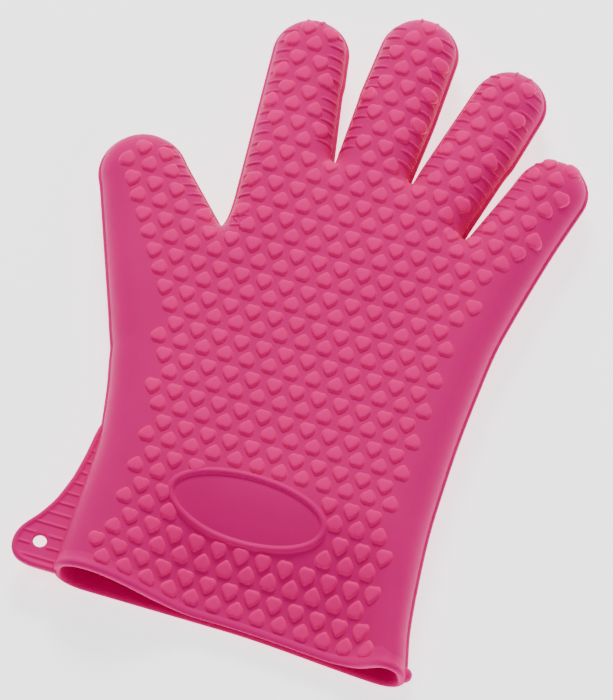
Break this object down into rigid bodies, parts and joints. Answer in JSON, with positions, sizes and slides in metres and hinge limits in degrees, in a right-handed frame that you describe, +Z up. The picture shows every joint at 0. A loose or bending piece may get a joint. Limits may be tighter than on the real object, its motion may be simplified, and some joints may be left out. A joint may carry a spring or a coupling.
{
  "type": "oven glove",
  "caption": "Five-finger moulded silicone oven glove with heart studs, a ribbed hang tab, an oval badge rim and fingers that curl at their roots.",
  "frame": {"origin": "centre of the bounding box in X and Y, on the surface the glove lies on", "axes": "+Y from the cuff to the fingertips, +Z up out of the palm, +X towards the little finger"},
  "size_m": [0.1827, 0.269, 0.0242],
  "materials": {
    "silicone_wall": "satin moulded silicone",
    "silicone_stud": "satin moulded silicone, slightly brighter worn tops",
    "silicone_rim": "satin moulded silicone"
  },
  "bodies": {
    "hand": {"cuff_front": "silicone_wall", "cuff_back": "silicone_wall", "palm_front": "silicone_wall", "palm_back": "silicone_wall", "cuff_lip": "silicone_rim", "edge_bead": "silicone_rim", "corner_knob": "silicone_rim", "hang_tab": "silicone_wall", "tab_border": "silicone_rim", "tab_ribs": "silicone_rim", "badge_rim": "silicone_rim", "cuff_hearts": "silicone_stud", "palm_hearts": "silicone_stud", "cuff_back_hearts": "silicone_stud", "palm_back_hearts": "silicone_stud", "thumb_root": "silicone_wall", "index_root": "silicone_wall", "middle_root": "silicone_wall", "ring_root": "silicone_wall", "little_root": "silicone_wall"},
    "thumb": {"thumb_tip": "silicone_wall", "thumb_hearts": "silicone_stud", "thumb_ribs": "silicone_rim", "thumb_bead": "silicone_rim"},
    "index": {"index_tip": "silicone_wall", "index_hearts": "silicone_stud", "index_ribs": "silicone_rim", "index_bead": "silicone_rim"},
    "middle": {"middle_tip": "silicone_wall", "middle_hearts": "silicone_stud", "middle_ribs": "silicone_rim", "middle_bead": "silicone_rim"},
    "ring": {"ring_tip": "silicone_wall", "ring_hearts": "silicone_stud", "ring_ribs": "silicone_rim", "ring_bead": "silicone_rim"},
    "little": {"little_tip": "silicone_wall", "little_hearts": "silicone_stud", "little_ribs": "silicone_rim", "little_bead": "silicone_rim"}
  },
  "joints": [
    {"name": "thumb_curl", "type": "hinge", "parent": "hand", "child": "thumb", "pos_m": [-0.06333, 0.02031, 0.0122], "axis": [0.8387, 0.5446, 0], "range_deg": [0, 70], "stiffness_Nm_per_rad": 0.06, "deforming": ["thumb_root"]},
    {"name": "index_curl", "type": "hinge", "parent": "hand", "child": "index", "pos_m": [-0.0246, 0.07234, 0.0122], "axis": [0.9903, 0.1392, 0], "range_deg": [0, 70], "stiffness_Nm_per_rad": 0.06, "deforming": ["index_root"]},
    {"name": "middle_curl", "type": "hinge", "parent": "hand", "child": "middle", "pos_m": [0.00905, 0.07502, 0.0122], "axis": [0.9997, -0.0262, 0], "range_deg": [0, 70], "stiffness_Nm_per_rad": 0.06, "deforming": ["middle_root"]},
    {"name": "ring_curl", "type": "hinge", "parent": "hand", "child": "ring", "pos_m": [0.04149, 0.07045, 0.0122], "axis": [0.9781, -0.2079, 0], "range_deg": [0, 70], "stiffness_Nm_per_rad": 0.06, "deforming": ["ring_root"]},
    {"name": "little_curl", "type": "hinge", "parent": "hand", "child": "little", "pos_m": [0.06936, 0.05295, 0.0122], "axis": [0.9588, -0.284, 0], "range_deg": [0, 70], "stiffness_Nm_per_rad": 0.06, "deforming": ["little_root"]}
  ]
}
